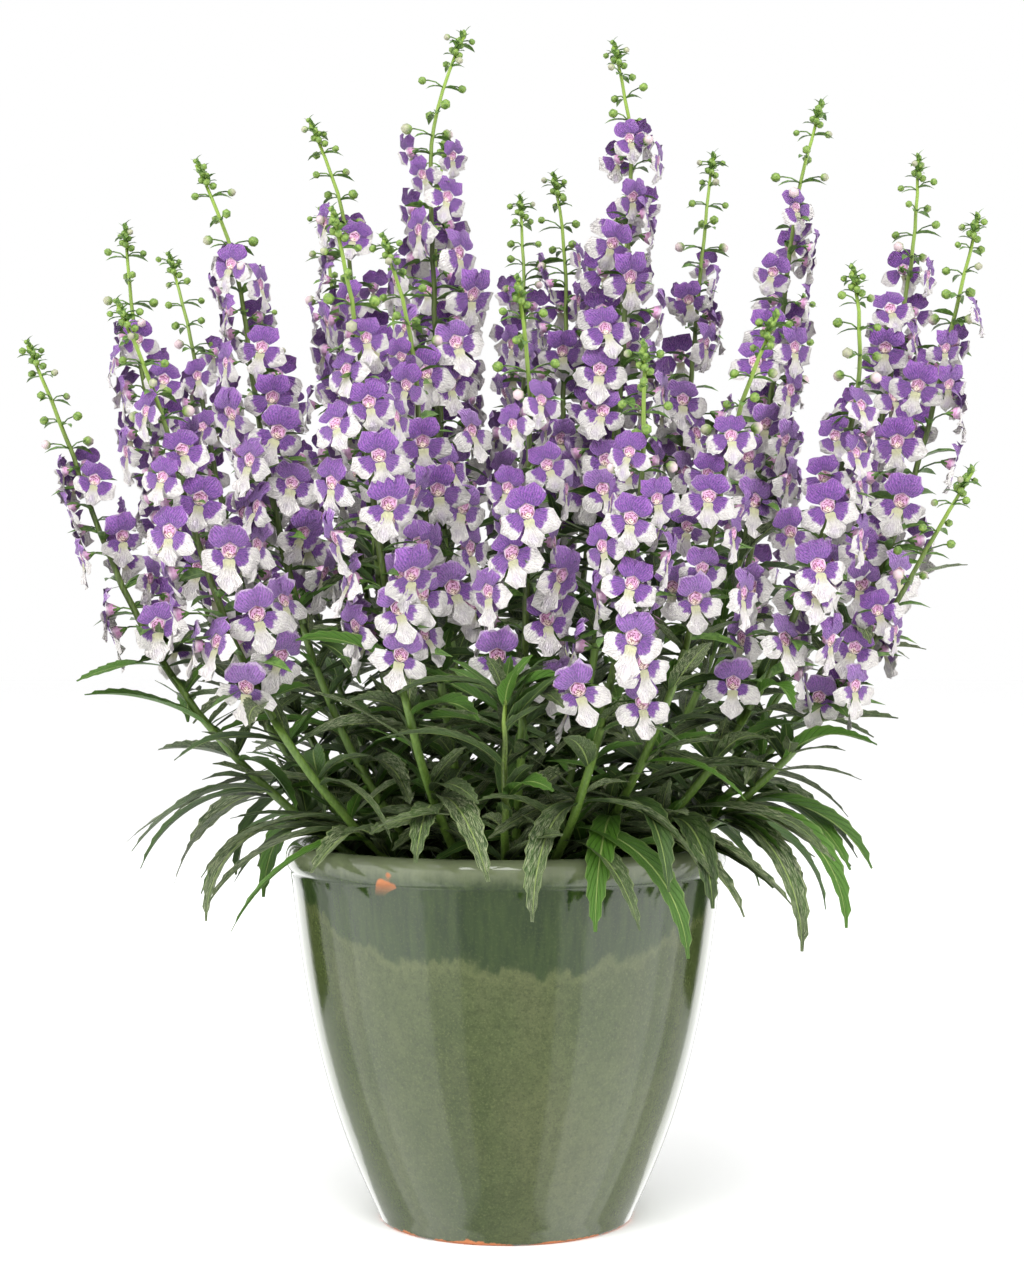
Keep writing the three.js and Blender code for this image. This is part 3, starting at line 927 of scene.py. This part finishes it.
def add_lobe(bm, lobe, degrees, variant, dice):
    turn = math.radians(degrees + dice.uniform(-8, 8))
    outward = Vector((math.sin(turn), 0, math.cos(turn)))
    sideways = Vector((math.cos(turn), 0, -math.sin(turn)))
    length = lobe["length"] * dice.uniform(0.9, 1.1)
    broad = dice.uniform(0.9, 1.08)
    lean = lobe["lean"] + dice.uniform(-1.6, 1.6)
    hollow = dice.uniform(-1.2, 0.6)

    def point(a, t):
        column = round((a + 1) / 2 * lobe["columns"])
        wide = lobe["halves"][round(t * PETAL_ROWS)] * broad
        reach = CUP_RADIUS + length * (t - 0.22 * t * t * a * a) + dice.uniform(-0.8, 0.8) * t * t
        ruffle = (1.0 if column % 2 else -1.0) * t * t + dice.uniform(-0.9, 0.9) * t
        back = lean * t * t + ruffle + hollow * a * a * t - 0.8 * math.sin(math.pi * t) - CUP_DEPTH
        return (outward * reach + sideways * a * wide + Vector((0, back, 0))) * MM

    sheet(bm, lobe["columns"], PETAL_ROWS, lobe["kind"], variant, lobe["kind"], point)


def add_cup(bm, variant):
    """The throat: rings from the calyx to the lobes' necks, then inwards over a shallow dome."""
    rings = [
        (1.1, 0.0), (2.7, -2.6), (3.9, 0.3 - CUP_DEPTH), (2.3, 0.9 - CUP_DEPTH), (0.2, 1.5 - CUP_DEPTH),
    ]

    def point(a, t):
        radius, y = rings[round(t * 4)]
        turn = math.pi * a
        return Vector((math.sin(turn) * radius, y, -math.cos(turn) * radius)) * MM

    sheet(bm, 6, 4, THROAT, variant, THROAT, point)


def add_calyx(bm, variant):
    def point(a, t):
        radius = 0.7 + 1.9 * t
        turn = math.pi * a
        return Vector((math.sin(turn) * radius, 1.2 - 3.4 * t, math.cos(turn) * radius)) * MM

    sheet(bm, 5, 1, GREEN, variant, GREEN, point)


def flower_template(variant):
    dice = random.Random(40 + variant)
    bm = bmesh.new()
    for lobe, degrees in LOBES:
        add_lobe(bm, lobe, degrees, variant, dice)
    add_cup(bm, variant)
    add_calyx(bm, variant)
    return as_template(bm, f"flower_{variant}")


flowers = [flower_template(variant) for variant in range(VARIANTS)]
print("a flower has", len(flowers[0].polygons), "faces")

# %% [markdown]
# ## Stalks, bracts and buds
#
# A flower hangs on a thin stalk from the corner between the stem and a small leafy bract. The youngest
# flowers at the top are still round buds.

# %% Small parts
def stalk_template():
    """A stalk one unit long towards -Y, which rises a little on its way."""
    bm = bmesh.new()
    points = [Vector((0, -t, 0.16 * math.sin(math.pi * t))) for t in (0, 0.4, 0.75, 1)]
    tube(bm, points, [0.05, 0.04, 0.04, 0.05], GREEN, 2, GREEN, 3)
    return as_template(bm, "stalk")


def bract_template(variant):
    """A small lance-shaped leaf one unit long towards -Y."""
    bm = bmesh.new()

    def point(a, t):
        half = 0.17 * math.sin(math.pi * min(1, t * 0.9 + 0.08)) if t < 1 else 0
        return Vector((a * half, -t, 0.25 * t - 0.42 * t * t + 0.4 * abs(a) * half))

    sheet(bm, 2, 4, GREEN, variant, GREEN, point)
    return as_template(bm, f"bract_{variant}")


def bud_template(variant):
    """A round bud of radius one, a little pointed towards -Y."""
    bm = bmesh.new()
    rings = [(0.0, 1.0), (0.75, 0.68), (1.0, -0.05), (0.72, -0.72), (0.0, -1.12)]

    def point(a, t):
        radius, y = rings[round(t * 4)]
        turn = math.pi * a
        return Vector((math.sin(turn) * radius, y, math.cos(turn) * radius))

    sheet(bm, 6, 4, BUD, variant, BUD, point)
    return as_template(bm, f"bud_{variant}")


stalk = stalk_template()
bracts = [bract_template(variant) for variant in range(VARIANTS)]
buds = [bud_template(variant) for variant in range(VARIANTS)]

# %% [markdown]
# ## Flower spikes
#
# Flowers come in pairs, each pair crossing the one below. They turn their faces outwards from the whole
# plant, so a flower's direction is a mix of its own side of the stem and the plant's outside. A flower
# keeps to its own side of the middle between its stem and the next one.

# %% Room for flowers
PAIR_STEP = 11.5 * MM
BARE_TIP = 56 * MM
TAPER = 90 * MM
FLOWER_REACH = 20 * MM
SMALLEST_REACH = 9 * MM
NEIGHBOUR_GAP = 4 * MM


def room_around(stem, height, way):
    """How far a flower may reach from its stem: half the way to the nearest stem on that side."""
    room = 1.0
    centre = stem.at(height)
    for other in stems:
        if other is not stem and height <= other.rise:
            apart = (other.at(height) - centre).xy
            share = way.xy.dot(apart.normalized())
            if share > 0:
                room = min(room, apart.length / 2 / share)
    return room


def flower_way(stem, height, azimuth, stray):
    """The side that a flower grows on and the direction that its face turns to, stray radians off."""
    side = level_way(azimuth)
    out = stem.at(height).xy
    pull = 0.8 * smooth_step(10 * MM, 70 * MM, out.length)
    face = side + Vector((out.x, out.y, 0)).normalized() * pull
    return side, Matrix.Rotation(stray, 3, "Z") @ face.normalized()


# %% Open flowers
def add_flower(bm, stem, height, azimuth, size, age_tone, dice):
    """age_tone is 0 for the oldest, palest flowers and 1 for the youngest, most violet ones."""
    side, face = flower_way(stem, height, azimuth, dice.uniform(-0.4, 0.4))
    wanted = FLOWER_REACH * size * dice.uniform(0.7, 1.25)
    reach = min(wanted, room_around(stem, height, side) - NEIGHBOUR_GAP)
    root = stem.at(height)
    blade = (26 - 13 * age_tone) * MM * dice.uniform(0.75, 1.15)
    turn = dice.choice((-1, 1)) * dice.uniform(0.5, 1.1)
    bract_way = Matrix.Rotation(turn, 3, "Z") @ side + UP * dice.uniform(-0.1, 0.5)
    add_copy(bm, dice.choice(bracts), facing(root, bract_way, dice.uniform(-0.6, 0.6), [blade] * 3))
    missing = 0.16 * (1 - age_tone) ** 2 + 0.03
    if reach < SMALLEST_REACH or dice.random() < missing:
        return 0
    calyx = root + side * (reach - CUP_DEPTH * MM) + UP * dice.uniform(1, 7) * MM
    along = calyx - root
    add_copy(bm, stalk, facing(root, along, 0, (0.012, along.length, 0.012)))
    tilted = face - UP * dice.uniform(-0.25, 0.5)
    roll = dice.uniform(-0.35, 0.35)
    variant = min(VARIANTS - 1, int(VARIANTS * (0.75 * age_tone + 0.3 * dice.random())))
    scale = (0.4 + 0.6 * size) * dice.uniform(0.95, 1.12)
    add_copy(bm, flowers[variant], facing(calyx, tilted, roll, [scale] * 3))
    return 1


def grow_flowers(bm, stem, dice):
    """The open flowers, from the foot of the spike to just under its buds."""
    count = 0
    top = stem.rise - BARE_TIP * dice.uniform(0.8, 1.1)
    pairs = round((top - stem.foot) / PAIR_STEP)
    for pair in range(pairs):
        share = (pair + 0.5) / pairs
        height = stem.foot + (top - stem.foot) * share * (0.85 + 0.15 * share)
        size = 0.55 + 0.45 * smooth_step(-10 * MM, TAPER, top - height)
        azimuth = stem.outward + math.radians(90 * (pair % 2) + 45) + dice.uniform(-0.5, 0.5)
        age_tone = pair / pairs
        for turn in (0, math.pi):
            level = height + dice.uniform(-4, 4) * MM
            way = azimuth + turn + dice.uniform(-0.3, 0.3)
            count += add_flower(bm, stem, level, way, size, age_tone, dice)
    return count


# %% Buds
BUD_PAIRS = 5
TIP_PARTS = 22


def grow_buds(bm, stem, dice):
    """Stalked buds in pairs that get smaller upwards, each over a small bract."""
    for pair in range(BUD_PAIRS):
        share = pair / BUD_PAIRS
        height = stem.rise - BARE_TIP * (1 - share) ** 1.1 + 2 * MM
        for turn in (0, math.pi):
            azimuth = stem.number + math.radians(90 * (pair % 2)) + turn + dice.uniform(-0.3, 0.3)
            side = level_way(azimuth)
            root = stem.at(height + dice.uniform(-1, 1) * MM)
            length = (13.5 - 8 * share) * MM * dice.uniform(0.8, 1.1)
            end = root + side * length + UP * length * dice.uniform(0.05, 0.4)
            radius = (2.7 - 1.2 * share) * MM * dice.uniform(0.85, 1.1)
            bud = buds[dice.randrange(4, VARIANTS) if pair == 0 else dice.randrange(0, 5)]
            add_copy(bm, stalk, facing(root, end - root, 0, (0.01, (end - root).length, 0.01)))
            add_copy(bm, bud, facing(end, side + UP * dice.uniform(-0.6, 0.4), 0, [radius] * 3))
            blade = (14 - 6 * share) * MM * dice.uniform(0.8, 1.15)
            aside = side + UP.cross(side) * dice.uniform(-0.5, 0.5)
            add_copy(bm, dice.choice(bracts), facing(root, aside, 0.2, [blade] * 3))


def grow_tip(bm, stem, dice):
    """The tight cluster at the tip, of small bracts and buds by turns."""
    for i in range(TIP_PARTS):
        way = level_way(SPIRAL * i) + UP * (0.4 + i * 0.07)
        root = stem.at(stem.rise - (14 - i * 0.58) * MM)
        if i % 2:
            add_copy(bm, dice.choice(bracts), facing(root, way, 0, [(8.5 - i * 0.17) * MM] * 3))
        else:
            spot = root + way.normalized() * (2.6 - i * 0.07) * MM
            add_copy(bm, buds[i % 4], facing(spot, way, 0, [(1.9 - i * 0.035) * MM] * 3))


flower_total = 0
for stem in stems:
    dice = random.Random(500 + stem.number)
    spike_mesh = bmesh.new()
    flower_total += grow_flowers(spike_mesh, stem, dice)
    grow_buds(spike_mesh, stem, dice)
    grow_tip(spike_mesh, stem, dice)
    stem_tube(spike_mesh, stem, stem.foot, stem.rise - 3 * MM, STEM_SLOT)
    name = f"flowers_{stem.number:02d}"
    add_piece(name, spike_mesh, spike_paints, [f"flower_spike_{stem.number:02d}"])
print("flowers:", flower_total)

# %% [markdown]
# ## Floor, light and camera
#
# The plant stands on a plain white floor in soft light. The pot's wall leans outwards, so it mirrors
# what lies low. The floor is therefore left out of reflections, and two broad lights on each side reach
# far below it to give the glaze its large soft reflections. One light from above brightens the lip, and
# two from behind draw bright rims. A dark card beside each of those is only seen in reflections, where
# it sets off the rims.

# %% Floor
STAGE_RADIUS = 14


def floor_white():
    paint = Paint("white_floor", Roughness=0.9)
    tooth = paint.noise(paint.position(), 30, 3, 0.5)
    return paint.finish(paint.mix(tooth, rgb("fefefe"), rgb("ffffff")))


floor_mesh = bmesh.new()
bmesh.ops.create_circle(floor_mesh, cap_ends=True, segments=96, radius=STAGE_RADIUS)
floor = make_object("floor", floor_mesh, [floor_white()])
floor.visible_glossy = False
print("floor:", STAGE_RADIUS, "m in radius")

# %% Light
SIDE_LEVEL = -1.2
SIDE_HEIGHT = 5.0
RIM_LEVEL = 0.1
CARD_BACK = 0.95
CARD_WIDTH = 0.45
CARD_HEIGHT = 0.9


def card_black():
    paint = Paint("card_black", Roughness=0.9)
    tooth = paint.noise(paint.position(), 200, 2, 0.5)
    return paint.finish(paint.mix(tooth, rgb("0c0c0c"), rgb("161616")))


def soft_light(name, place, aim, width, height, power):
    data = bpy.data.lights.new(name, "AREA")
    data.shape = "RECTANGLE"
    data.size = width
    data.size_y = height
    data.energy = power
    lamp = bpy.data.objects.new(name, data)
    lamp.location = place
    lamp.rotation_mode = "QUATERNION"
    lamp.rotation_quaternion = (Vector(aim) - Vector(place)).to_track_quat("-Z", "Y")
    lamp.visible_camera = False
    bpy.context.scene.collection.objects.link(lamp)


def side_light(name, x, y, width, power):
    soft_light(name, (x, y, SIDE_LEVEL), (0, 0, SIDE_LEVEL), width, SIDE_HEIGHT, power)


def dark_card(name, x):
    card_mesh = bmesh.new()
    turn = Vector((-x, -CARD_BACK, 0)).to_track_quat("Z", "Y").to_matrix().to_4x4()
    size = Matrix.Diagonal((CARD_WIDTH, CARD_HEIGHT, 1, 1))
    place = Matrix.Translation((x, CARD_BACK, RIM_LEVEL)) @ turn @ size
    bmesh.ops.create_grid(card_mesh, x_segments=1, y_segments=1, size=0.5, matrix=place)
    card = make_object(name, card_mesh, [card_black()])
    card.visible_camera = False
    card.visible_diffuse = False
    card.visible_shadow = False


side_light("left_light", -2.0, -0.5, 2.6, 38)
side_light("left_front_light", -1.8, -1.1, 2.8, 30)
side_light("right_light", 2.0, -0.5, 2.6, 42)
side_light("right_front_light", 1.8, -1.0, 2.6, 32)
soft_light("top_light", (-0.2, -1.4, 2.0), (0, 0, 0.3), 1.8, 1.2, 50)
soft_light("left_rim_light", (-1.1, 1.9, RIM_LEVEL), (0, 0, RIM_LEVEL), 0.9, 2.2, 9)
soft_light("right_rim_light", (1.1, 1.9, RIM_LEVEL), (0, 0, RIM_LEVEL), 0.9, 2.2, 9)
dark_card("left_card", -1.28)
dark_card("right_card", 1.28)

world = bpy.data.worlds.new("studio")
world.use_nodes = True
world.node_tree.nodes["Background"].inputs["Color"].default_value = (1, 1, 1, 1)
world.node_tree.nodes["Background"].inputs["Strength"].default_value = 1.0
bpy.context.scene.world = world
bpy.context.scene.view_settings.view_transform = "Standard"
print("lights:", len(bpy.data.lights))

# %% Camera
CAMERA_PLACE = (3 * MM, -1180 * MM, 290 * MM)

camera_data = bpy.data.cameras.new("camera")
camera_data.lens = 67
camera_data.sensor_width = 36
camera = bpy.data.objects.new("camera", camera_data)
camera.location = CAMERA_PLACE
camera.rotation_euler = (math.pi / 2, 0, 0)
bpy.context.scene.collection.objects.link(camera)
bpy.context.scene.camera = camera
print("camera:", camera_data.lens, "mm lens,", round(-CAMERA_PLACE[1], 2), "m in front")
